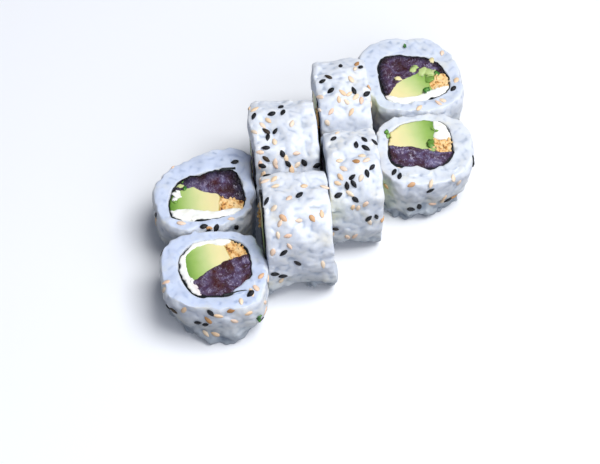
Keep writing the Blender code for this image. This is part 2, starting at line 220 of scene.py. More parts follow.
# The lamps: place in metres, size, power in watts and colour.
LAMPS = {"window": ((0.62, -0.14, 1.52), 1.0, 27.3, "#fcfdff"),
         "fill": ((0.30, -0.70, 0.42), 0.8, 3.6, "#f0f4ff")}
FLOOR_REACH = 3.0        # from the middle of the floor to its edges, in metres


# ---------------------------------------------------------------- colours and nodes

def srgb(code):
    """Linear RGBA of an sRGB hex colour."""
    parts = [int(code[i:i + 2], 16) / 255 for i in (1, 3, 5)]
    return (*[c / 12.92 if c <= 0.04045 else ((c + 0.055) / 1.055) ** 2.4 for c in parts], 1)


def add(tree, kind, inputs=None, stops=None, **settings):
    """Adds a node; inputs maps a socket's name or number to a value or another node's output."""
    made = tree.nodes.new(kind)
    for name, value in settings.items():
        setattr(made, name, value)
    for key, value in (inputs or {}).items():
        if isinstance(value, bpy.types.NodeSocket):
            tree.links.new(value, made.inputs[key])
        else:
            made.inputs[key].default_value = value
    if stops:
        elements = made.color_ramp.elements
        while len(elements) < len(stops):
            elements.new(1)
        for element, (place, code) in zip(elements, stops):
            element.position, element.color = place, srgb(code)
    return made


def new_material(name, **constants):
    """A material with its shader's constant values set, and Object coordinates in metres."""
    made = bpy.data.materials.new(name)
    made.use_nodes = True
    tree = made.node_tree
    shader = tree.nodes["Principled BSDF"]
    for socket, value in constants.items():
        shader.inputs[socket.replace("_", " ")].default_value = value
    place = add(tree, "ShaderNodeTexCoord").outputs["Object"]
    return made, tree, shader, place


def clouded(tree, place, scale, detail, stops):
    """A colour that a ramp gives for soft noise."""
    cloud = add(tree, "ShaderNodeTexNoise", {"Vector": place, "Scale": scale, "Detail": detail})
    return add(tree, "ShaderNodeValToRGB", {"Fac": cloud.outputs["Fac"]},
               stops=stops).outputs["Color"]


def finish_with(tree, shader, colour, height, depth, strength=0.5):
    """Links a colour, and a bump that is a depth in metres high, to a shader."""
    bump = add(tree, "ShaderNodeBump", {"Height": height, "Strength": strength, "Distance": depth})
    tree.links.new(colour, shader.inputs["Base Color"])
    tree.links.new(bump.outputs["Normal"], shader.inputs["Normal"])


def shaded(tree, colour, name, stops):
    """The colour darkened by a ramp of shades, which a number stored on the mesh picks from."""
    stored = add(tree, "ShaderNodeAttribute", attribute_name=name)
    shade = add(tree, "ShaderNodeValToRGB", {"Fac": stored.outputs["Fac"]}, stops=stops)
    return add(tree, "ShaderNodeMix", {0: 1.0, 6: colour, 7: shade.outputs["Color"]},
               data_type="RGBA", blend_type="MULTIPLY").outputs[2]


# ---------------------------------------------------------------- materials

def steamed_rice():
    """Steamed short-grain rice: moist starch, bluish white; painted shade between grains, low down and
    on cut faces.
    """
    made, tree, shader, place = new_material(
        "steamed rice", Roughness=0.38, IOR=1.38, Subsurface_Weight=0.5,
        Subsurface_Radius=(1.0, 0.95, 0.9), Subsurface_Scale=0.0016)
    tone = clouded(tree, place, 150, 3, [(0.30, "#dce0e6"), (0.50, "#e3e7ee"), (0.62, "#e6e8ea"),
                                         (0.75, "#eae8df")])
    # Painted shade: greyer and bluer in the hollows between the grains.
    packed = shaded(tree, tone, "hollow",
                    [(0.2, "#ffffff"), (0.5, "#f9fafc"), (0.75, "#eaedf2"), (1.0, "#cfd6e0")])
    # Painted shade: greyer and darker towards the base of each slice.
    painted_low_shade = shaded(tree, packed, "base",
                    [(0.0, "#ffffff"), (0.45, "#f0efe8"), (0.75, "#d6dada"), (1.0, "#b4babe")])
    # Painted shade: bluer and darker on the cut faces, more on some slices than others.
    painted_cut_shade = shaded(tree, painted_low_shade, "cut", [(0.0, "#ffffff"), (0.3, "#f7f8f8"), (1.0, "#e6edfc")])
    fine = add(tree, "ShaderNodeTexNoise", {"Vector": place, "Scale": 900, "Detail": 4})
    finish_with(tree, shader, painted_cut_shade, fine.outputs["Fac"], 0.0003, 0.25)
    return made


def soaked_seaweed():
    """Toasted seaweed soaked by the rice: nearly black with a green cast, satin and fibrous."""
    made, tree, shader, place = new_material("soaked seaweed", Roughness=0.42, IOR=1.4)
    tone = clouded(tree, place, 300, 5, [(0.35, "#0b1014"), (0.6, "#151c1f"), (0.8, "#232b24")])
    fibre = add(tree, "ShaderNodeTexNoise", {"Vector": place, "Scale": 1500, "Detail": 3})
    finish_with(tree, shader, tone, fibre.outputs["Fac"], 0.0003)
    return made


def raw_tuna():
    """Raw tuna: wet dark wine-red muscle, marbled lavender grey, nearly black at the seaweed."""
    made, tree, shader, place = new_material(
        "raw tuna", Roughness=0.24, IOR=1.42, Subsurface_Weight=0.15,
        Subsurface_Radius=(1.0, 0.4, 0.3), Subsurface_Scale=0.001)
    # Muscle bundles are about 5 mm across, and the pale marbling between them about 0.7 mm.
    bundle = add(tree, "ShaderNodeTexNoise", {"Vector": place, "Scale": 190, "Detail": 3,
                                              "Distortion": 1.0})
    flesh = add(tree, "ShaderNodeValToRGB", {"Fac": bundle.outputs["Fac"]},
                stops=[(0.32, "#3a181c"), (0.42, "#402337"), (0.52, "#513a57"), (0.68, "#6b6288")])
    along = add(tree, "ShaderNodeMapping", {"Vector": place, "Rotation": (0, 0, 0.6),
                                            "Scale": (1.0, 0.55, 0.8)})
    vein = add(tree, "ShaderNodeTexNoise", {"Vector": along.outputs["Vector"], "Scale": 1100,
                                            "Detail": 4, "Roughness": 0.65, "Distortion": 1.2})
    strength = add(tree, "ShaderNodeMath", {0: bundle.outputs["Fac"], 1: 0.35, 2: -0.17},
                   operation="MULTIPLY_ADD")
    marbling = add(tree, "ShaderNodeMath", {0: vein.outputs["Fac"], 1: strength.outputs[0]})
    marbled = add(tree, "ShaderNodeValToRGB", {"Fac": marbling.outputs[0]},
                  stops=[(0.46, "#000000"), (0.56, "#3a3a3a"), (0.66, "#d8d8d8")])
    pale = add(tree, "ShaderNodeMix", {0: marbled.outputs["Color"], 6: flesh.outputs["Color"],
                                       7: srgb("#b3a9c4")}, data_type="RGBA")
    dark = shaded(tree, pale.outputs[2], "outer",
                  [(0.10, "#3a3640"), (0.35, "#8c8694"), (0.8, "#ffffff")])
    blood = add(tree, "ShaderNodeAttribute", attribute_name="blood")
    bled = add(tree, "ShaderNodeMix", {0: blood.outputs["Fac"], 6: dark, 7: srgb("#46140e")},
               data_type="RGBA")
    fat = add(tree, "ShaderNodeAttribute", attribute_name="fat")
    streaks = add(tree, "ShaderNodeMath", {0: fat.outputs["Fac"], 1: marbled.outputs["Color"]},
                  operation="MULTIPLY")
    colour = add(tree, "ShaderNodeMix", {0: streaks.outputs[0], 6: bled.outputs[2],
                                         7: srgb("#e3dde6")}, data_type="RGBA")
    finish_with(tree, shader, colour.outputs[2], vein.outputs["Fac"], 0.0009, 0.8)
    return made


def ripe_avocado():
    """Ripe avocado: smooth buttery flesh, green at the skin side, pale yellow at the stone."""
    made, tree, shader, place = new_material(
        "ripe avocado", Roughness=0.38, IOR=1.42, Subsurface_Weight=0.2,
        Subsurface_Radius=(1.0, 1.0, 0.4), Subsurface_Scale=0.001)
    ripe = add(tree, "ShaderNodeAttribute", attribute_name="ripe")
    cloud = add(tree, "ShaderNodeTexNoise", {"Vector": place, "Scale": 220, "Detail": 3})
    shift = add(tree, "ShaderNodeMath", {0: cloud.outputs["Fac"], 1: 0.16, 2: -0.08},
                operation="MULTIPLY_ADD")
    stage = add(tree, "ShaderNodeMath", {0: ripe.outputs["Fac"], 1: shift.outputs[0]})
    tone = add(tree, "ShaderNodeValToRGB", {"Fac": stage.outputs[0]},
               stops=[(0.0, "#55842a"), (0.07, "#779f43"), (0.22, "#9abb60"), (0.42, "#c0d189"),
                      (0.62, "#e1dfa0"), (0.8, "#eee1a7"), (1.0, "#ecdca8")])
    browned = shaded(tree, tone.outputs["Color"], "rim",
                     [(0.0, "#b5ab78"), (0.09, "#e6e6cc"), (0.2, "#ffffff")])
    fine = add(tree, "ShaderNodeTexNoise", {"Vector": place, "Scale": 1200, "Detail": 2})
    finish_with(tree, shader, browned, fine.outputs["Fac"], 0.0002, 0.3)
    return made


def soft_cheese():
    """Cream cheese: soft, dense and white, dragged by the knife, stained pink beside the tuna."""
    made, tree, shader, place = new_material(
        "soft white cheese", Roughness=0.45, IOR=1.4, Subsurface_Weight=0.25,
        Subsurface_Radius=(1.0, 0.95, 0.85), Subsurface_Scale=0.0008)
    tone = clouded(tree, place, 350, 3, [(0.35, "#f3f1e4"), (0.55, "#fbfaf3")])
    stain = add(tree, "ShaderNodeAttribute", attribute_name="stain")
    stained = add(tree, "ShaderNodeMix", {0: stain.outputs["Fac"], 6: tone,
                                          7: srgb("#d9bdc0")}, data_type="RGBA")
    drag = add(tree, "ShaderNodeTexNoise", {"Vector": place, "Scale": 700, "Detail": 3})
    finish_with(tree, shader, stained.outputs[2], drag.outputs["Fac"], 0.0004, 0.4)
    return made


def fried_batter():
    """Fried batter crumbs: dry, golden tan, with browner spots at random."""
    made, tree, shader, place = new_material("fried batter crumbs", Roughness=0.62, IOR=1.45)
    tone = clouded(tree, place, 420, 4, [(0.32, "#7d4a20"), (0.40, "#d79f58"), (0.50, "#f0c888"),
                                         (0.75, "#f8deae")])
    pit = add(tree, "ShaderNodeTexNoise", {"Vector": place, "Scale": 1100, "Detail": 4})
    finish_with(tree, shader, tone, pit.outputs["Fac"], 0.0006, 0.7)
    return made


def seed_coat(name, stops):
    """The satin coat of a sesame seed, each seed with its own shade."""
    made, tree, shader, place = new_material(name, Roughness=0.5, IOR=1.38)
    shade = add(tree, "ShaderNodeAttribute", attribute_name="shade")
    tone = add(tree, "ShaderNodeValToRGB", {"Fac": shade.outputs["Fac"]}, stops=stops)
    grain = add(tree, "ShaderNodeTexNoise", {"Vector": place, "Scale": 1800, "Detail": 2})
    finish_with(tree, shader, tone.outputs["Color"], grain.outputs["Fac"], 0.0002, 0.3)
    return made


def chopped_herb():
    """Chopped soft herb leaf: deep fresh green, lighter where its fine bumps rise."""
    made, tree, shader, place = new_material("chopped herb", Roughness=0.4, IOR=1.42)
    cloud = add(tree, "ShaderNodeTexNoise", {"Vector": place, "Scale": 600, "Detail": 3})
    tone = add(tree, "ShaderNodeValToRGB", {"Fac": cloud.outputs["Fac"]},
               stops=[(0.35, "#1f4a1c"), (0.52, "#387427"), (0.70, "#6ea63c")])
    finish_with(tree, shader, tone.outputs["Color"], cloud.outputs["Fac"], 0.0004)
    return made


# ---------------------------------------------------------------- slice frames and meshes

def slice_place(number):
    """The world axes that a slice's U, V and W lie along, and its origin in millimetres."""
    low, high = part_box(f"rice_{number}")
    low, high = np.array(low) / MM, np.array(high) / MM
    middle = (low + high) / 2
    if number in STANDING:
        return (0, 1, 2), np.array([middle[0], middle[1], low[2]])
    return (1, 2, 0), np.array([middle[1], middle[2], low[0]])


def to_slice(number, points):
    """World metres turned into a slice's own U, V and W in millimetres."""
    axes, origin = slice_place(number)
    return np.asarray(points)[:, axes] / MM - origin


def to_world(number, points):
    """A slice's own U, V and W turned into world metres."""
    axes, origin = slice_place(number)
    world = np.empty((len(points), 3))
    world[:, axes] = (np.asarray(points) + origin) * MM
    return world


def thickness(number):
    """How thick a slice's rice is, in millimetres."""
    low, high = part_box(f"rice_{number}")
    return (high - low)[2 if number in STANDING else 0] / MM


def vectors(items, name):
    """One vector property of many items as an array."""
    flat = np.empty(len(items) * 3, np.float32)
    items.foreach_get(name, flat)
    return flat.reshape(-1, 3).astype(float)


def vertices_of(mesh):
    """A mesh's vertices as an array."""
    return vectors(mesh.vertices, "co")


def normals_of(mesh):
    """A mesh's vertex normals as an array."""
    return vectors(mesh.vertex_normals, "vector")


def facing_w(number, mesh):
    """How much each vertex of a mesh faces along its slice's W."""
    return normals_of(mesh)[:, slice_place(number)[0][2]]


def set_vertices(mesh, points):
    """Writes an array back into a mesh's vertices."""
    mesh.vertices.foreach_set("co", np.asarray(points, np.float32).ravel())
    mesh.update()


def mark(mesh, name, values):
    """Stores a number on each vertex, for a material or a tree to read."""
    attribute = mesh.attributes.get(name) or mesh.attributes.new(name, "FLOAT", "POINT")
    attribute.data.foreach_set("value", np.asarray(values, np.float32))


def new_mesh(name, vertices, faces=()):
    """A mesh of the given vertices, in metres, and faces."""
    mesh = bpy.data.meshes.new(name)
    mesh.from_pydata([tuple(spot) for spot in vertices], [], faces)
    return mesh


def add_object(name, mesh, material=None):
    """An object at the origin, smooth shaded."""
    made = bpy.data.objects.new(name, mesh)
    bpy.context.scene.collection.objects.link(made)
    if material:
        mesh.materials.clear()
        mesh.materials.append(material)
    mesh.shade_smooth()
    return made


def add_piece(name, mesh, material, slot=None, *nodes):
    """A finished piece of the object, and the CAD solids that it stands for."""
    piece = add_object(name, mesh, material)
    if nodes:
        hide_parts(*nodes)
    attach(piece, "root")
    return piece


def joined(meshes):
    """Several meshes as one."""
    solid = bmesh.new()
    for mesh in meshes:
        solid.from_mesh(mesh)
    whole = bpy.data.meshes.new("joined")
    solid.to_mesh(whole)
    solid.free()
    return whole


def cad_copy(node):
    """A merged copy of a CAD solid's mesh."""
    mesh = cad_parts[node].data.copy()
    solid = bmesh.new()
    solid.from_mesh(mesh)
    bmesh.ops.remove_doubles(solid, verts=solid.verts, dist=0.00001)
    solid.to_mesh(mesh)
    solid.free()
    mesh.materials.clear()
    return mesh


def baked(item):
    """The mesh of an object with its modifiers, which are then taken off."""
    depsgraph = bpy.context.evaluated_depsgraph_get()
    mesh = bpy.data.meshes.new_from_object(item.evaluated_get(depsgraph))
    item.modifiers.clear()
    return mesh


def remeshed(mesh, grid, rounds):
    """The mesh made again as one even closed skin, relaxed a little."""
    item = add_object("remesh_work", mesh)
    skin = item.modifiers.new("skin", "REMESH")
    skin.mode = "VOXEL"
    skin.voxel_size = grid * MM
    skin.use_smooth_shade = True
    relax = item.modifiers.new("relax", "SMOOTH")
    relax.factor, relax.iterations = 0.5, rounds
    made = baked(item)
    bpy.data.objects.remove(item)
    return made


def wavy(points, size, seed):
    """Smooth noise, about -1 to 1, at points in millimetres; size is its wavelength."""
    shift = Vector((seed * 7.31, seed * 3.17, seed * 5.73))
    return np.array([noise.noise(Vector(p) / size + shift) for p in points]) * 1.6


def closeness(points, middle, reach):
    """1 at a middle, falling off smoothly with the distance from it."""
    return np.exp(-((points - middle) ** 2).sum(axis=1) / reach ** 2)


def between(first, second, share):
    """The value that lies a share of the way from the first to the second."""
    return first + (second - first) * share


def heaped(points, rows):
    """What rows of a middle, a reach and a height at the middle add up to at points."""
    none = np.zeros(len(points))
    return sum((high * closeness(points, middle, reach) for *middle, reach, high in rows), none)


def ease(value, low, high):
    """0 below low, 1 above high, and smooth between."""
    share = np.clip((value - low) / (high - low), 0, 1)
    return share * share * (3 - 2 * share)


def rounding(far, radius):
    """How far a rounded edge has dropped at a distance inside its outline."""
    return radius - np.sqrt(radius ** 2 - np.clip(radius - far, 0, radius) ** 2)


def on_arcs(loop, arcs):
    """1 at the points of a loop that lie on the given arcs, in degrees, with soft ends."""
    angle = np.degrees(np.arctan2(loop[:, 1], loop[:, 0])) % 360
    share = np.zeros(len(loop))
    for start, end in arcs:
        share = np.maximum(share, ease(angle, start, start + 6) * (1 - ease(angle, end - 6, end)))
    return share


# ---------------------------------------------------------------- outlines in the cut's plane

def top_outlines(number, node):
    """The outlines round a CAD solid's upper cut face, longest first, in U and V."""
    solid = bmesh.new()
    solid.from_mesh(cad_copy(node))
    points = to_slice(number, [corner.co for corner in solid.verts])
    top = points[:, 2] > thickness(number) / 2
    links = {}
    for edge in solid.edges:
        a, b = (corner.index for corner in edge.verts)
        rim = not all(top[corner.index] for face in edge.link_faces for corner in face.verts)
        if top[a] and top[b] and rim:
            links.setdefault(a, []).append(b)
            links.setdefault(b, []).append(a)
    solid.free()
    outlines = []
    while links:
        loop = [min(links)]
        while links.get(loop[-1]):
            here = loop[-1]
            following = links[here].pop()
            links[following].remove(here)
            if not links[here]:
                del links[here]
            loop.append(following)
        links.pop(loop[-1], None)
        outline = points[loop[:-1], :2]
        ahead = np.roll(outline, -1, axis=0)
        if (outline[:, 0] * ahead[:, 1] - outline[:, 1] * ahead[:, 0]).sum() < 0:
            outline = outline[::-1]
        outlines.append(outline)
    return sorted(outlines, key=lambda line: -np.ptp(line[:, 0]))


def at_w(flat, w=0.0):
    """Points in U and V set at a W, which is one number or one for each."""
    return np.column_stack([flat, np.full(len(flat), w)])


def band(lower, upper):
    """The faces between two rings of vertices, each ring given by its vertices' numbers."""
    count = len(lower)
    return [(lower[i], lower[(i + 1) % count], upper[(i + 1) % count], upper[i])
            for i in range(count)]


def rounded(loop):
    """The loop with its corners cut off twice."""
    for _ in range(2):
        ahead = np.roll(loop, -1, axis=0)
        loop = np.stack([0.75 * loop + 0.25 * ahead, 0.25 * loop + 0.75 * ahead], axis=1)
        loop = loop.reshape(-1, 2)
    return loop


def respaced(line, spacing, closed=True):
    """The line read again at an even spacing."""
    line = np.vstack([line, line[:1]]) if closed else np.asarray(line, float)
    run = np.r_[0, np.cumsum(np.hypot(*np.diff(line, axis=0).T))]
    count = max(8, round(run[-1] / spacing))
    wanted = np.linspace(0, run[-1], count + 1)[:count + (not closed)]
    return np.stack([np.interp(wanted, run, line[:, k]) for k in (0, 1)], axis=1)


def uncrossed(loop):
    """The loop with each small knot, where it crosses itself, cut off."""
    points = [Vector(point) for point in loop]
    for _ in range(len(points)):
        for step in range(KNOT_STEPS, 1, -1):
            crossing = geometry.intersect_line_line_2d(*points[:2], *points[step:step + 2])
            if crossing:
                points[1:step + 1] = [crossing]
                break
        points.append(points.pop(0))
    return np.array([tuple(point) for point in points])


def outward(loop):
    """The outward direction at each point of an anticlockwise loop."""
    along = np.roll(loop, -1, axis=0) - np.roll(loop, 1, axis=0)
    along /= np.linalg.norm(along, axis=1)[:, None]
    return np.stack([along[:, 1], -along[:, 0]], axis=1)


def within(points, loop):
    """Which points lie inside a closed loop."""
    ahead = np.roll(loop, -1, axis=0)
    u, v = points[:, :1], points[:, 1:2]
    crosses = (loop[:, 1] > v) != (ahead[:, 1] > v)
    rise = np.where(ahead[:, 1] == loop[:, 1], 1, ahead[:, 1] - loop[:, 1])
    at = loop[:, 0] + (v - loop[:, 1]) / rise * (ahead[:, 0] - loop[:, 0])
    return (crosses & (u < at)).sum(axis=1) % 2 == 1


def nearest_on(points, loop):
    """The nearest place on a closed loop to each point, and how far off it is."""
    edge = np.roll(loop, -1, axis=0) - loop
    gap = points[:, None] - loop
    share = np.clip((gap * edge).sum(axis=2) / (edge ** 2).sum(axis=1), 0, 1)
    places = loop + share[:, :, None] * edge
    far = np.linalg.norm(points[:, None] - places, axis=2)
    best = far.argmin(axis=1)
    return places[np.arange(len(points)), best], far.min(axis=1)


# ---------------------------------------------------------------- scattering

def new_tree(name, *sockets):
    """An empty tree that takes an item's copies, and the outputs of its named inputs."""
    tree = bpy.data.node_groups.new(name, "GeometryNodeTree")
    common = [("Base", "Geometry", None), ("Item", "Object", None), ("Material", "Material", None),
              ("Tilt", "Float", 0.2), ("Smallest", "Vector", (1, 1, 1)),
              ("Largest", "Vector", (1, 1, 1)), ("Seed", "Int", 0)]
    for label, kind, default in [*common, *sockets]:
        socket = tree.interface.new_socket(label, in_out="INPUT", socket_type=f"NodeSocket{kind}")
        if default is not None:
            socket.default_value = default
    tree.interface.new_socket("Mesh", in_out="OUTPUT", socket_type="NodeSocketGeometry")
    return tree, add(tree, "NodeGroupInput").outputs


def turned(tree, rotation, extra):
    """Adds a turn about a copy's own axes to its rotation."""
    return add(tree, "FunctionNodeRotateRotation", {"Rotation": rotation, "Rotate By": extra},
               rotation_space="LOCAL").outputs["Rotation"]


def copies(tree, given, points, rotation):
    """Adds real copies of the item on points, each rocked, sized and shaded at random."""
    lean = add(tree, "ShaderNodeMath", {0: given["Tilt"], 1: -1}, operation="MULTIPLY")
    least = add(tree, "ShaderNodeCombineXYZ", {"X": lean.outputs[0], "Y": lean.outputs[0]})
    most = add(tree, "ShaderNodeCombineXYZ", {"X": given["Tilt"], "Y": given["Tilt"]})
    rock = add(tree, "FunctionNodeRandomValue",
               {"Min": least.outputs[0], "Max": most.outputs[0], "Seed": given["Seed"]},
               data_type="FLOAT_VECTOR")
    size = add(tree, "FunctionNodeRandomValue",
               {"Min": given["Smallest"], "Max": given["Largest"], "Seed": given["Seed"]},
               data_type="FLOAT_VECTOR")
    item = add(tree, "GeometryNodeObjectInfo", {"Object": given["Item"], "As Instance": True})
    placed = add(tree, "GeometryNodeInstanceOnPoints",
                 {"Points": points, "Instance": item.outputs["Geometry"],
                  "Rotation": turned(tree, rotation, rock.outputs["Value"]),
                  "Scale": size.outputs["Value"]})
    shade = add(tree, "FunctionNodeRandomValue", {"Seed": given["Seed"]}, data_type="FLOAT")
    marked = add(tree, "GeometryNodeStoreNamedAttribute",
                 {"Geometry": placed.outputs["Instances"], "Name": "shade",
                  "Value": shade.outputs[1]}, data_type="FLOAT", domain="INSTANCE")
    return add(tree, "GeometryNodeRealizeInstances", {"Geometry": marked.outputs["Geometry"]})


def finish_tree(tree, given, geometry):
    """Ends a tree as one real mesh of one material."""
    whole = add(tree, "GeometryNodeRealizeInstances", {"Geometry": geometry})
    coloured = add(tree, "GeometryNodeSetMaterial", {"Geometry": whole.outputs["Geometry"],
                                                     "Material": given["Material"]})
    add(tree, "NodeGroupOutput", {"Mesh": coloured.outputs["Geometry"]})
    return tree


def scatter_tree():
    """A tree that strews copies of an item over a surface, lying on it at any angle."""
    tree, given = new_tree("scatter", ("Spacing", "Float", 0.002), ("Density", "Float", 1e6),
                           ("Rise", "Float", 0.0), ("Keep Base", "Bool", False))
    cover = add(tree, "GeometryNodeInputNamedAttribute", {"Name": "cover"}, data_type="FLOAT")
    points = add(tree, "GeometryNodeDistributePointsOnFaces",
                 {"Mesh": given["Base"], "Distance Min": given["Spacing"],
                  "Density Max": given["Density"], "Density Factor": cover.outputs["Attribute"],
                  "Seed": given["Seed"]}, distribute_method="POISSON")
    lift = add(tree, "ShaderNodeVectorMath", {0: points.outputs["Normal"], "Scale": given["Rise"]},
               operation="SCALE")
    raised = add(tree, "GeometryNodeSetPosition",
                 {"Geometry": points.outputs["Points"], "Offset": lift.outputs["Vector"]})
    spin = add(tree, "FunctionNodeRandomValue", {"Min": (0, 0, -math.pi), "Max": (0, 0, math.pi),
                                                 "Seed": given["Seed"]}, data_type="FLOAT_VECTOR")
    rotation = turned(tree, points.outputs["Rotation"], spin.outputs["Value"])
    real = copies(tree, given, raised.outputs["Geometry"], rotation)
    both = add(tree, "GeometryNodeJoinGeometry", {"Geometry": real.outputs["Geometry"]})
    tree.links.new(given["Base"], both.inputs["Geometry"])
    chosen = add(tree, "GeometryNodeSwitch",
                 {"Switch": given["Keep Base"], "False": real.outputs["Geometry"],
                  "True": both.outputs["Geometry"]}, input_type="GEOMETRY")
    return finish_tree(tree, given, chosen.outputs["Output"])


def laying_tree():
    """A tree that lays a copy of an item on each point, facing and turned as the point says."""
    tree, given = new_tree("laying")
    facing = add(tree, "GeometryNodeInputNamedAttribute", {"Name": "facing"},
                 data_type="FLOAT_VECTOR")
    flat = add(tree, "FunctionNodeAlignRotationToVector",
               {"Vector": facing.outputs["Attribute"]}, axis="Z")
    turn = add(tree, "GeometryNodeInputNamedAttribute", {"Name": "turn"}, data_type="FLOAT")
    spin = add(tree, "ShaderNodeCombineXYZ", {"Z": turn.outputs["Attribute"]})
    rotation = turned(tree, flat.outputs["Rotation"], spin.outputs["Vector"])
    real = copies(tree, given, given["Base"], rotation)
    return finish_tree(tree, given, real.outputs["Geometry"])


def run_tree(mesh, tree, **values):
    """The mesh that a tree makes of a base, given its named inputs."""
    base = add_object("tree_base", mesh)
    modifier = base.modifiers.new("tree", "NODES")
    modifier.node_group = tree
    wanted = {name.replace("_", " ").title(): value for name, value in values.items()}
    for socket in tree.interface.items_tree:
        if socket.in_out == "INPUT" and socket.name in wanted:
            modifier[socket.identifier] = wanted.pop(socket.name)
    made = baked(base)
    bpy.data.objects.remove(base)
    return made


def scattered(mesh, cover, tree, **values):
    """What a scatter tree makes over a base, thickest where cover is 1."""
    mark(mesh, "cover", cover)
    return run_tree(mesh, tree, **values)


def laid(spots, facings, turns, tree, **values):
    """What a laying tree makes of places in metres, the ways they face and turns in degrees."""
    mesh = new_mesh("spots", spots)
    facing = mesh.attributes.new("facing", "FLOAT_VECTOR", "POINT")
    facing.data.foreach_set("vector", np.asarray(facings, np.float32).ravel())
    mark(mesh, "turn", np.radians(turns))
    return run_tree(mesh, tree, **values)


def pebble(name, columns, rows, shape):
    """A small closed shape that its own rule bends out of a ball of diameter 1."""
    solid = bmesh.new()
    bmesh.ops.create_uvsphere(solid, u_segments=columns, v_segments=rows, radius=0.5)
    for corner in solid.verts:
        corner.co = Vector(shape(corner.co.z, corner.co.x, corner.co.y)) * MM
    mesh = bpy.data.meshes.new(name)
    solid.to_mesh(mesh)
    solid.free()
    return add_object(name, mesh)


def grain_rule(x, y, z):
    """One grain of rice: a plump rod, a little bent."""
    full = (1 - (2 * x) ** 4) ** 0.5 / max((1 - (2 * x) ** 2) ** 0.5, 0.01) if abs(x) < 0.49 else 1
    return (x * GRAIN_LENGTH, y * full * GRAIN_WIDTH,
            z * full * GRAIN_WIDTH * 0.82 + x * x * 0.9)


def sesame_rule(x, y, z):
    """One sesame seed: a flat teardrop, pointed at one end."""
    taper = 1 - 0.55 * max(x, 0) * 2 * (0.4 + max(x, 0))
    return (x * SESAME[0], y * taper * SESAME[1], z * taper * SESAME[2])


def crumb_rule(x, y, z):
    """One crumb of batter: a knobbly lump a millimetre across."""
    knob = 1 + 0.55 * noise.noise(Vector((x, y, z)) * 3.1)
    return (x * 1.5 * knob, y * 1.15 * knob, z * 0.95 * knob)


def lump_rule(x, y, z):
    """One lump of mash a millimetre across, low and knobbly."""
    knob = 1 + 0.7 * noise.noise(Vector((x, y, z)) * 3.7 + Vector((5.2, 1.3, 8.1)))
    return (x * 1.5 * knob, y * 1.2 * knob, z * 0.36 * knob)


# ---------------------------------------------------------------- rice

def bulge(number, points, side):
    """How far a cut face stands out at points in U and V."""
    rows = [(u, v, *rest) for u, v, end, *rest in BULGES.get(number, []) if end == side]
    return heaped(points[:, :2], rows)


def rice_core(number):
    """The smaller body under a slice's grains, and where grains cover it."""
    mesh = remeshed(cad_copy(f"rice_{number}"), CORE_GRID, CORE_ROUNDS)
    points = to_slice(number, vertices_of(mesh))
    normals = normals_of(mesh)[:, slice_place(number)[0]]
    spokes = points[:, :2] / np.maximum(np.hypot(points[:, 0], points[:, 1]), 1)[:, None]
    facing = (normals[:, :2] * spokes).sum(axis=1)
    along = np.abs(normals[:, 2])
    well = (facing < -0.3) & (along < 0.8)
    height = to_world(number, points)[:, 2] / MM
    low_down = 1 - ease(height, LUMP_TOP * 0.4, LUMP_TOP)
    swell = SWELL * wavy(points, SWELL_SIZE, number)
    lump = LUMP * low_down * wavy(points, LUMP_SIZE, number + 20)
    inset = CUT_INSET * along + between(*CORE_INSET, low_down) * (1 - along)
    push = heaped(points, PUSHES.get(number, []))
    closing = SHEET_TIGHT + WELL_SPARE + RICE_OVER * on_arcs(points, COVERED.get(number, []))
    spread = lump + push
    shift = np.where(well, closing, (swell + spread) * (1 - along) - inset)
    points = points + normals * shift[:, None]
    outline = respaced(top_outlines(number, f"rice_{number}")[0], 1.0)
    inside = within(points[:, :2], outline)
    far = nearest_on(points[:, :2], outline)[1] * np.where(inside, 1, -1)
    # A cut face reaches as far as the wall under it, which stands out or draws in.
    points[:, :2] += spokes * (spread * along * (1 - ease(far, 0, SLIDE)))[:, None]
    drop = rounding(far + spread, RIM_STANDING if number in STANDING else RIM_LYING)
    lowest = 0 if number in STANDING else drop
    near, high = (bulge(number, points, side) for side in (-1, 1))
    points[:, 2] += np.where(points[:, 2] < thickness(number) / 2, -near, high)
    points[:, 2] = np.clip(points[:, 2], lowest - near, thickness(number) - drop + high)
    set_vertices(mesh, to_world(number, points))
    return mesh, np.where(well, 0.0, 1.0)


def stray_grains(number, grain):
    """Loose grains that lie over the edge of the fillings."""
    meshes = []
    for k, (u, v) in enumerate(STRAY_GRAINS.get(number, [])):
        mesh = grain.data.copy()
        turn = Matrix.Rotation(math.radians(25 + 35 * k), 4, "Z")
        mesh.transform(turn)
        spot = to_world(number, [(u, v, thickness(number) - STRAY_DEPTH)])[0]
        mesh.transform(Matrix.Translation(Vector(spot)))
        meshes.append(mesh)
    return meshes


def levelled(mesh):
    """A mesh's vertices, in millimetres, averaged with their neighbours again and again."""
    ends = np.empty(len(mesh.edges) * 2, np.int32)
    mesh.edges.foreach_get("vertices", ends)
    a, b = ends.reshape(-1, 2).T
    count = len(mesh.vertices)
    links = np.bincount(a, minlength=count) + np.bincount(b, minlength=count)
    level = vertices_of(mesh) / MM
    for _ in range(LEVEL_ROUNDS):
        for k in range(3):
            column = level[:, k].copy()
            level[:, k] = (np.bincount(a, column[b], count) + np.bincount(b, column[a], count)) / links
    return level


def matted(mesh):
    """Presses the grains as a rolling mat does, less so low down, and marks the hollows for painted
    shade.
    """
    points, level = vertices_of(mesh) / MM, levelled(mesh)
    depth = ((level - points) * normals_of(mesh)).sum(axis=1)
    # Marks where the rice gets painted shade: 0 on a ridge, 1 deep in a hollow.
    mark(mesh, "hollow", np.clip(0.5 + depth / HOLLOW_SHADE_DEPTH, 0, 1))
    low_down = 1 - ease(points[:, 2], LUMP_TOP * 0.4, LUMP_TOP)
    keep = between(WALL_RELIEF, LOW_RELIEF, low_down)
    set_vertices(mesh, between(level, points, keep[:, None]) * MM)


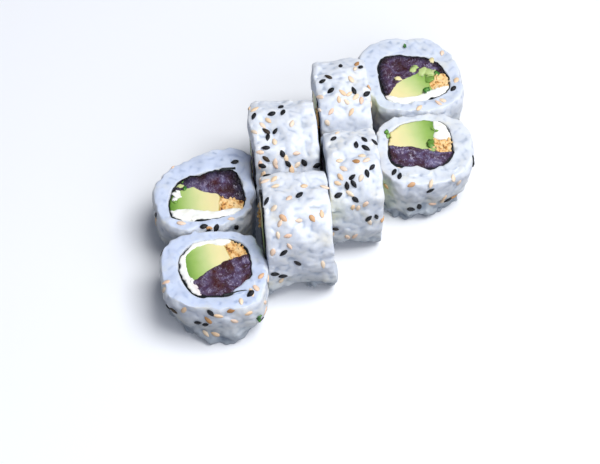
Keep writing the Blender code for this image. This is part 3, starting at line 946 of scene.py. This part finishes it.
def pressed(number, mesh, well):
    """Flattens the grains where the knife cut them, where the seaweed is and where they rest."""
    points = to_slice(number, vertices_of(mesh))
    facing = facing_w(number, mesh)
    high = thickness(number)
    stray = np.zeros(len(points), bool)
    for u, v in STRAY_GRAINS.get(number, []):
        stray |= np.hypot(points[:, 0] - u, points[:, 1] - v) < STRAY_REACH
    stray &= points[:, 2] > high - 3
    low_down = 1 - ease(vertices_of(mesh)[:, 2] / MM, LUMP_TOP * 0.5, LUMP_TOP)
    relief = between(CUT_RELIEF, LOW_RELIEF, low_down)
    flat = at_w(points[:, :2])
    for end, side in ((high, 1), (0.0, -1)):
        grounded = number in STANDING and side < 0
        swell = 0 if grounded else CUT_SWELL * wavy(flat, CUT_SWELL_SIZE, number + 30 + side)
        swell = swell + bulge(number, points, side)
        depth = (end - points[:, 2]) * side + swell + STRAY_RISE * stray
        smeared = (np.abs(facing) > 0.5) * (1 - ease(depth, 0, SMEAR_DEPTH)) * (1 - SMEAR)
        outside = depth * (0 if grounded else relief)
        depth = np.where(depth < 0, outside, depth * (1 - smeared)) - swell - STRAY_RISE * stray
        points[:, 2] = end - side * depth
    inside = within(points[:, :2], well) & ~stray
    points[inside, :2] = nearest_on(points[inside, :2], well)[0]
    world = to_world(number, points)
    world[:, 2] = np.maximum(world[:, 2], 0)
    set_vertices(mesh, world)


def add_rice(number, tree, grain, sheet, material):
    """The finished rice of one slice."""
    core, cover = rice_core(number)
    packed = scattered(core, cover, tree, item=grain, material=material,
                       spacing=GRAIN_SPACING * MM, density=1.0e6, rise=GRAIN_RISE * MM, tilt=0.28,
                       smallest=(0.85, 0.85, 0.85), largest=(1.15, 1.1, 1.1), seed=number,
                       keep_base=True)
    skin = remeshed(joined([packed, *stray_grains(number, grain)]), SKIN_GRID, SKIN_ROUNDS)
    matted(skin)
    over = on_arcs(sheet, COVERED.get(number, []))
    pressed(number, skin, sheet - outward(sheet) * RICE_OVER * over[:, None])
    # Painted shade towards the base: 1 at the floor, none from 18 mm up.
    mark(skin, "base", 1 - ease(vertices_of(skin)[:, 2] / MM, 0, 18))
    # Painted bluish shade on the cut faces, as much as each slice is given.
    mark(skin, "cut", ease(np.abs(facing_w(number, skin)), 0.5, 0.95) * PAINTED_CUT_SHADES.get(number, 0.6))
    return add_piece(f"steamed_rice_{number}", skin, material, "rice", f"rice_{number}")


# ---------------------------------------------------------------- seeds, crumbs and herbs

def resting(mesh, spot):
    """Where something laid on a mesh near a spot lies, and the way the surface faces there."""
    points = vertices_of(mesh)
    nearest = points[np.linalg.norm(points - spot, axis=1).argmin()]
    near = np.linalg.norm(points - nearest, axis=1) < BED_REACH * MM
    facing = normals_of(mesh)[near].mean(axis=0)
    return points[near].mean(axis=0), facing / np.linalg.norm(facing)


def to_camera():
    """The direction from the set to the camera."""
    turn, rise = math.radians(VIEW_TURN), math.radians(VIEW_RISE)
    return Vector((math.sin(turn) * math.cos(rise), -math.cos(turn) * math.cos(rise),
                   math.sin(rise)))


def turned_away(number, mesh):
    """1 on the wall of a slice where it faces away from the camera, clear of what it rests on."""
    points = to_slice(number, vertices_of(mesh))
    wall = np.abs(facing_w(number, mesh)) < 0.5
    outside = np.hypot(points[:, 0], points[:, 1]) > WALL_FROM
    clear = vertices_of(mesh)[:, 2] > STREWN_FROM * MM
    return wall * outside * clear * ease(-(normals_of(mesh) @ np.array(to_camera())), 0.0, 0.3)


def fallen(which):
    """The slice and place of each seed of one kind that fell in a patch, clear of the others."""
    rng = np.random.default_rng(PATCH_SEED)
    places = []
    for number, patches in PATCHES.items():
        taken = []
        for turn, w, wide, *counts in patches:
            for k in range(sum(counts)):
                for _ in range(PATCH_TRIES):
                    along, rise = rng.normal(0, wide, 2)
                    angle = math.radians(turn) + along / PATCH_RADIUS
                    spot = np.array([PATCH_RADIUS * math.cos(angle), PATCH_RADIUS * math.sin(angle),
                                     np.clip(w + rise, 0.5, thickness(number))])
                    if all(np.linalg.norm(spot - other) > SEED_SPACING for other in taken):
                        break
                taken.append(spot)
                if (k >= counts[0]) == which:
                    places.append((number, spot))
    return places


def add_seeds(skins, strew, lay):
    """The black and the toasted sesame seeds of the whole set."""
    coats = {"black": [(0.0, "#090b10"), (0.5, "#101218"), (0.9, "#18181d"), (1.0, "#3b2d1c")],
             "toasted": [(0.0, "#ecc7a0"), (0.25, "#f3d8b4"), (0.5, "#f0dcc4"), (0.8, "#efcaae"),
                         (0.92, "#d6a46f"), (1.0, "#a3713f")]}
    item = pebble("sesame", 8, 6, sesame_rule)
    for which, (kind, stops) in enumerate(coats.items()):
        coat = seed_coat(f"{kind} sesame coat", stops)
        look = {"item": item, "material": coat, "tilt": 0.12, "smallest": (0.8, 0.75, 0.8),
                "largest": (1.08, 1.05, 1.1)}
        places = fallen(which)
        beds = [resting(skins[number], to_world(number, [place])[0]) for number, place in places]
        spots = [spot + facing * SEED_RISE[kind] * MM for spot, facing in beds]
        turns = np.random.default_rng(which).uniform(0, 360, len(spots))
        meshes = [laid(spots, [facing for _, facing in beds], turns, lay, seed=len(kind), **look)]
        for number, skin in skins.items():
            cover = STREWN_SEEDS[kind] * turned_away(number, skin)
            meshes.append(scattered(skin.copy(), cover, strew, spacing=SEED_SPACING * MM,
                                    density=MOST_SEEDS, rise=SEED_RISE[kind] * MM,
                                    seed=number * 3 + len(kind), **look))
        add_piece(f"{kind}_sesame", joined(meshes), coat)
    bpy.data.objects.remove(item)


def add_crumbs(crunches, tree, material):
    """Loose crumbs on the cut faces of the crisp filling."""
    crumb = pebble("crumb", 8, 6, crumb_rule)
    meshes = []
    for number, mesh in crunches.items():
        level = to_slice(number, vertices_of(mesh))[:, 2]
        open_face = (level > 1) | (number not in STANDING)
        cover = (np.abs(facing_w(number, mesh)) > 0.5) & open_face
        meshes.append(scattered(mesh.copy(), cover, tree, item=crumb, material=material,
                                spacing=1.2 * MM, density=1.5e6, rise=-0.05 * MM, tilt=3.0,
                                smallest=(0.5, 0.5, 0.5), largest=(1.7, 1.6, 1.3),
                                seed=number))
    add_piece("batter_crumbs", joined(meshes), material, "crunch")
    bpy.data.objects.remove(crumb)


def herb_scrap(seed, length):
    """One torn scrap of leaf: a thin bent disc with a ragged edge."""
    rng = np.random.default_rng(seed)
    angles = np.linspace(0, 2 * math.pi, HERB_POINTS, endpoint=False)
    reach = length / 2 * rng.uniform(0.7, 1.0, len(angles))
    rim = np.column_stack([reach * np.cos(angles), 0.85 * reach * np.sin(angles)])
    rings = [rim, rim * 0.55]
    sheets = []
    for lift in (HERB_HALF, -HERB_HALF):
        for ring in rings:
            bend = 0.9 / length * (ring[:, 0] ** 2 - ring[:, 1] ** 2) + 0.2 * np.sin(ring[:, 0] * 3)
            sheets.append(np.column_stack([ring, bend + lift]))
    # From the upper side's inner ring, over the edge, to the lower side's inner ring.
    order = [sheets[1], sheets[0], sheets[2], sheets[3]]
    count = len(angles)
    vertices = np.vstack([*order, [(0, 0, HERB_HALF), (0, 0, -HERB_HALF)]]) * MM
    faces = []
    for i in range(count):
        j = (i + 1) % count
        faces.append((i, j, 4 * count))
        faces.append((3 * count + j, 3 * count + i, 4 * count + 1))
        for here in (0, count, 2 * count):
            faces.append((here + i, here + count + i, here + count + j, here + j))
    return new_mesh("scrap", vertices, faces)


def add_herbs(skins, material):
    """The scraps of herb on the cut faces, and one on a wall."""
    meshes = []
    for number, scraps in HERBS.items():
        for k, (u, v, w, length, turn) in enumerate(scraps):
            mesh = herb_scrap(number * 10 + k, length)
            spot = Vector(to_world(number, [(u, v, w)])[0])
            facing = Vector((0.1, -0.2, 1))
            if w < thickness(number):
                spot, facing = (Vector(part) for part in resting(skins[number], spot))
            mesh.transform(Matrix.Translation(spot + facing.normalized() * HERB_LIFT * MM)
                           @ facing.to_track_quat("Z", "Y").to_matrix().to_4x4()
                           @ Matrix.Rotation(math.radians(turn), 4, "Z"))
            meshes.append(mesh)
    add_piece("herb_scraps", joined(meshes), material)


def add_lumps(name, slot, places, lay, material):
    """Lumps of a filling that the knife mashed and dragged over its neighbours."""
    lump = pebble("lump", 10, 7, lump_rule)
    rows = [(number, *row) for number, rows in places.items() for row in rows]
    meshes = []
    for k, (number, u, v, width, *ripe) in enumerate(rows):
        spot = to_world(number, [(u, v, thickness(number) + LUMP_LIFT)])
        mesh = laid(spot, [(0, 0, 1)], [k * 77], lay, item=lump, material=material, tilt=0.3,
                    smallest=(width,) * 3, largest=(width,) * 3, seed=k)
        if ripe:
            mark(mesh, "ripe", np.full(len(mesh.vertices), ripe[0]))
            mark(mesh, "rim", np.ones(len(mesh.vertices)))
        meshes.append(mesh)
    add_piece(name, joined(meshes), material, slot)
    bpy.data.objects.remove(lump)


# ---------------------------------------------------------------- seaweed and fillings

def prism(number, loop, low, high, cap):
    """A straight block on a loop: cap gives the drop of each end's surface at points in U and V."""
    rng = np.random.default_rng(number)
    least, most = loop.min(axis=0), loop.max(axis=0)
    rows = np.arange(least[1], most[1], CAP_GRID * 0.87)
    lattice = np.array([(u + (k % 2) * CAP_GRID / 2, v) for k, v in enumerate(rows)
                        for u in np.arange(least[0], most[0], CAP_GRID)])
    lattice += rng.uniform(-CAP_JITTER, CAP_JITTER, lattice.shape) * CAP_GRID
    lattice = lattice[within(lattice, loop)]
    if len(lattice):
        lattice = lattice[nearest_on(lattice, loop)[1] > CAP_GRID * CAP_CLEAR]
    flat = np.vstack([loop, lattice.reshape(-1, 2)])
    ring = len(loop)
    edges = [(i, (i + 1) % ring) for i in range(ring)]
    spots, _, faces, origins, _, _ = geometry.delaunay_2d_cdt(
        [Vector(p) for p in flat], edges, [], 1, 1e-6)
    flat = np.array([tuple(p) for p in spots])
    place = {source: k for k, group in enumerate(origins) for source in group}
    border = [place[i] for i in range(ring)]
    count = len(flat)
    far = nearest_on(flat, loop)[1]
    top = at_w(flat, high + cap(flat, far, 1))
    bottom = at_w(flat, low - cap(flat, far, 2))
    levels = [border]
    vertices = [top, bottom]
    total = 2 * count
    steps = max(2, round((high - low) / SIDE_STEP))
    for step in range(1, steps):
        vertices.append(between(top[border], bottom[border], step / steps))
        levels.append(list(range(total, total + ring)))
        total += ring
    levels.append([count + i for i in border])
    polygons = [tuple(f) for f in faces] + [tuple(count + i for i in reversed(f)) for f in faces]
    for upper, lower in zip(levels, levels[1:]):
        polygons += band(lower, upper)
    return new_mesh("prism", to_world(number, np.vstack(vertices)), polygons)


def strayed(number, loop):
    """The loop bent this way and that, the same way for all that share a place in a slice."""
    flat = at_w(loop)
    push = [wavy(flat, BEND_SIZE, seed) + 0.35 * wavy(flat, BEND_SIZE / 2.5, seed + 10)
            for seed in (number + 60, number + 70)]
    return loop + BEND * np.column_stack(push)


def add_filling(number, kind, sheet, material):
    """One filling: its outline smoothed and pressed against its neighbours, its face uneven."""
    relief, size, edge, growth = FLESH[kind]
    node = f"{kind}_{number}"
    seed = number * 10 + len(kind)
    loop = strayed(number, respaced(rounded(top_outlines(number, node)[0]), CAP_GRID))
    ragged = RAGGED["filling"] * wavy(at_w(loop), RAGGED_SIZE, seed)
    loop = loop + outward(loop) * (growth + ragged)[:, None]
    gap = np.linalg.norm(loop[:, None] - sheet, axis=2)
    side, far = gap.argmin(axis=1), gap.min(axis=1)
    short = far - 0.75 * sheet_thickness(number, sheet)[side]
    pull = np.where(within(loop, sheet), short, short - 2 * far) * (far < REACH)
    loop = loop + outward(sheet)[side] * (pull * (1 - ease(far, REACH * 0.7, REACH)))[:, None]
    loop = uncrossed(loop)
    high = to_slice(number, [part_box(node)[1]])[0][2]

    def cap(flat, far, end):
        # The two ends are far apart in the noise, so that their reliefs differ.
        swell = relief * wavy(at_w(flat, 40.0 * end), size, seed) * ease(far, 0, edge)
        swell = swell - rounding(far, edge)
        return np.minimum(swell, 0) if end == 2 and number in STANDING else swell

    mesh = prism(number, loop, 0.0 if number in STANDING else -FLESH_PROUD, high, cap)
    points = to_slice(number, vertices_of(mesh))
    mark(mesh, "rim", np.clip(nearest_on(points[:, :2], loop)[1] / 3, 0, 1))
    inward = nearest_on(points[:, :2], sheet)[1] / DARK_EDGES.get(number, 2.0)
    mark(mesh, "outer", np.clip(inward, 0, 1))
    if kind == "tuna":
        for name, sign in (("blood", -1), ("fat", 1)):
            rows = [(*row, max(tint * sign, 0)) for *row, tint in TUNA_SPOTS.get(number, [])]
            mark(mesh, name, heaped(points[:, :2], rows))
    if kind == "cream_cheese":
        tuna = respaced(top_outlines(number, f"tuna_{number}")[0], CAP_GRID)
        near = np.exp(-nearest_on(points[:, :2], tuna)[1] / STAIN)
        patchy = 0.6 + 0.5 * wavy(at_w(points[:, :2]), 1.8, seed)
        mark(mesh, "stain", np.clip(near * patchy, 0, 1))
    if kind == "avocado":
        way = math.radians(RIPENS[number])
        run = points[:, 0] * math.cos(way) + points[:, 1] * math.sin(way)
        mark(mesh, "ripe", (run - run.min()) / np.ptp(run))
    return add_piece(f"cut_{kind}_{number}", mesh, material, kind, node)


def sheet_outline(number):
    """The outer side of a slice's seaweed."""
    loop = strayed(number, respaced(rounded(top_outlines(number, f"nori_{number}")[0]), CAP_GRID))
    ragged = RAGGED["sheet"] * wavy(at_w(loop), RAGGED_SIZE, number + 90)
    return loop + outward(loop) * (ragged - SHEET_TIGHT)[:, None]


def sheet_thickness(number, loop):
    """How thick the seaweed is at each point of its outline."""
    full = ease(wavy(at_w(loop), 6.0, number + 40), -0.2, 0.9)
    return (between(SHEET_THIN, SHEET_THICK, full)
            + SHEET_FOLDED * on_arcs(loop, FOLDED.get(number, [])))


def add_seaweed(number, loop, material):
    """The ragged ring of seaweed of one slice, with its loose end where one shows."""
    high = thickness(number)
    low = 0.0 if number in STANDING else -FLESH_PROUD
    rows = np.linspace(low, high, SHEET_ROWS)[:-1]
    out = outward(loop)
    thick = sheet_thickness(number, loop)
    top = high + SHEET_PROUD * (1 + wavy(at_w(loop), 1.3, number + 50))
    top = top - SHEET_SUNK * on_arcs(loop, COVERED.get(number, []))
    inner = loop - out * thick[:, None]
    crest = loop - out * (thick / 2)[:, None]
    sections = [at_w(loop, w) for w in rows]
    sections += [at_w(loop - out * SHEET_EDGE / 2, top - SHEET_EDGE), at_w(crest, top),
                 at_w(inner + out * SHEET_EDGE / 2, top - SHEET_EDGE)]
    sections += [at_w(inner, w) for w in rows[::-1]]
    around = len(loop)
    rings = [range(k * around, (k + 1) * around) for k in range(len(sections))]
    faces = [face for k, ring in enumerate(rings) for face in band(ring, rings[k + 1 - len(rings)])]
    meshes = [new_mesh("seaweed", to_world(number, np.vstack(sections)), faces)]
    if number in TAILS:
        path = respaced(np.array(TAILS[number]), CAP_GRID, closed=False)
        along = np.gradient(path, axis=0)
        across = np.stack([-along[:, 1], along[:, 0]], axis=1) / np.hypot(*along.T)[:, None]
        half = TAIL_THICKNESS / 2 * np.linspace(1.2, 0.35, len(path))[:, None]
        tail = np.vstack([path - across * half, (path + across * half)[::-1]])

        def crest_of(spots, far, end):
            return TAIL_PROUD * (0.7 + 0.3 * wavy(at_w(spots), 1.5, number)) * (end == 1)
        meshes.append(prism(number, tail, 1.0, high, crest_of))
    return add_piece(f"seaweed_{number}", joined(meshes), material, "nori", f"nori_{number}")


# ---------------------------------------------------------------- the set

def camera_and_light():
    """A long lens looking down at the set, soft cool daylight, and a plain pale floor."""
    scene = bpy.context.scene
    scene.view_settings.view_transform = "Standard"
    back = to_camera()
    camera = bpy.data.objects.new("camera", bpy.data.cameras.new("camera"))
    camera.data.lens = LENS
    camera.data.clip_start, camera.data.clip_end = 0.01, 10
    camera.location = Vector(LOOK_AT) * MM + back * VIEW_DISTANCE
    camera.rotation_euler = back.to_track_quat("Z", "Y").to_euler()
    scene.collection.objects.link(camera)
    scene.camera = camera

    world = bpy.data.worlds.new("daylight")
    world.use_nodes = True
    sky = world.node_tree.nodes["Background"].inputs
    sky["Color"].default_value, sky["Strength"].default_value = srgb("#e4ecff"), 0.21
    scene.world = world
    for name, (spot, size, power, colour) in LAMPS.items():
        lamp = bpy.data.lights.new(name, "AREA")
        lamp.size, lamp.energy, lamp.color = size, power, srgb(colour)[:3]
        holder = bpy.data.objects.new(name, lamp)
        holder.location = spot
        holder.rotation_euler = Vector(spot).to_track_quat("Z", "Y").to_euler()
        scene.collection.objects.link(holder)

    painted = new_material("pale floor", Roughness=0.8, Base_Color=srgb("#f3f4f6"))[0]
    corners = [(x * FLOOR_REACH, y * FLOOR_REACH, 0) for x, y in ((-1, -1), (1, -1), (1, 1), (-1, 1))]
    floor = add_object("floor", new_mesh("floor", corners, [(0, 1, 2, 3)]), painted)
    floor.visible_diffuse = False     # so that it throws no light up on the slices


def main():
    camera_and_light()
    tree, lay = scatter_tree(), laying_tree()
    grain = pebble("grain", 10, 7, grain_rule)
    rice, seaweed = steamed_rice(), soaked_seaweed()
    flesh = {"tuna": raw_tuna(), "avocado": ripe_avocado(), "cream_cheese": soft_cheese(),
             "crunch": fried_batter()}
    skins, crunches = {}, {}
    for number in SLICES:
        sheet = sheet_outline(number)
        skins[number] = add_rice(number, tree, grain, sheet, rice).data
        add_seaweed(number, sheet, seaweed)
        for kind, material in flesh.items():
            piece = add_filling(number, kind, sheet, material)
            if kind == "crunch":
                crunches[number] = piece.data
    bpy.data.objects.remove(grain)
    add_seeds(skins, tree, lay)
    add_crumbs(crunches, tree, flesh["crunch"])
    add_herbs(skins, chopped_herb())
    add_lumps("mashed_avocado", "avocado", MASH, lay, flesh["avocado"])
    add_lumps("dragged_cheese", "cream_cheese", DRAGGED, lay, flesh["cream_cheese"])


main()
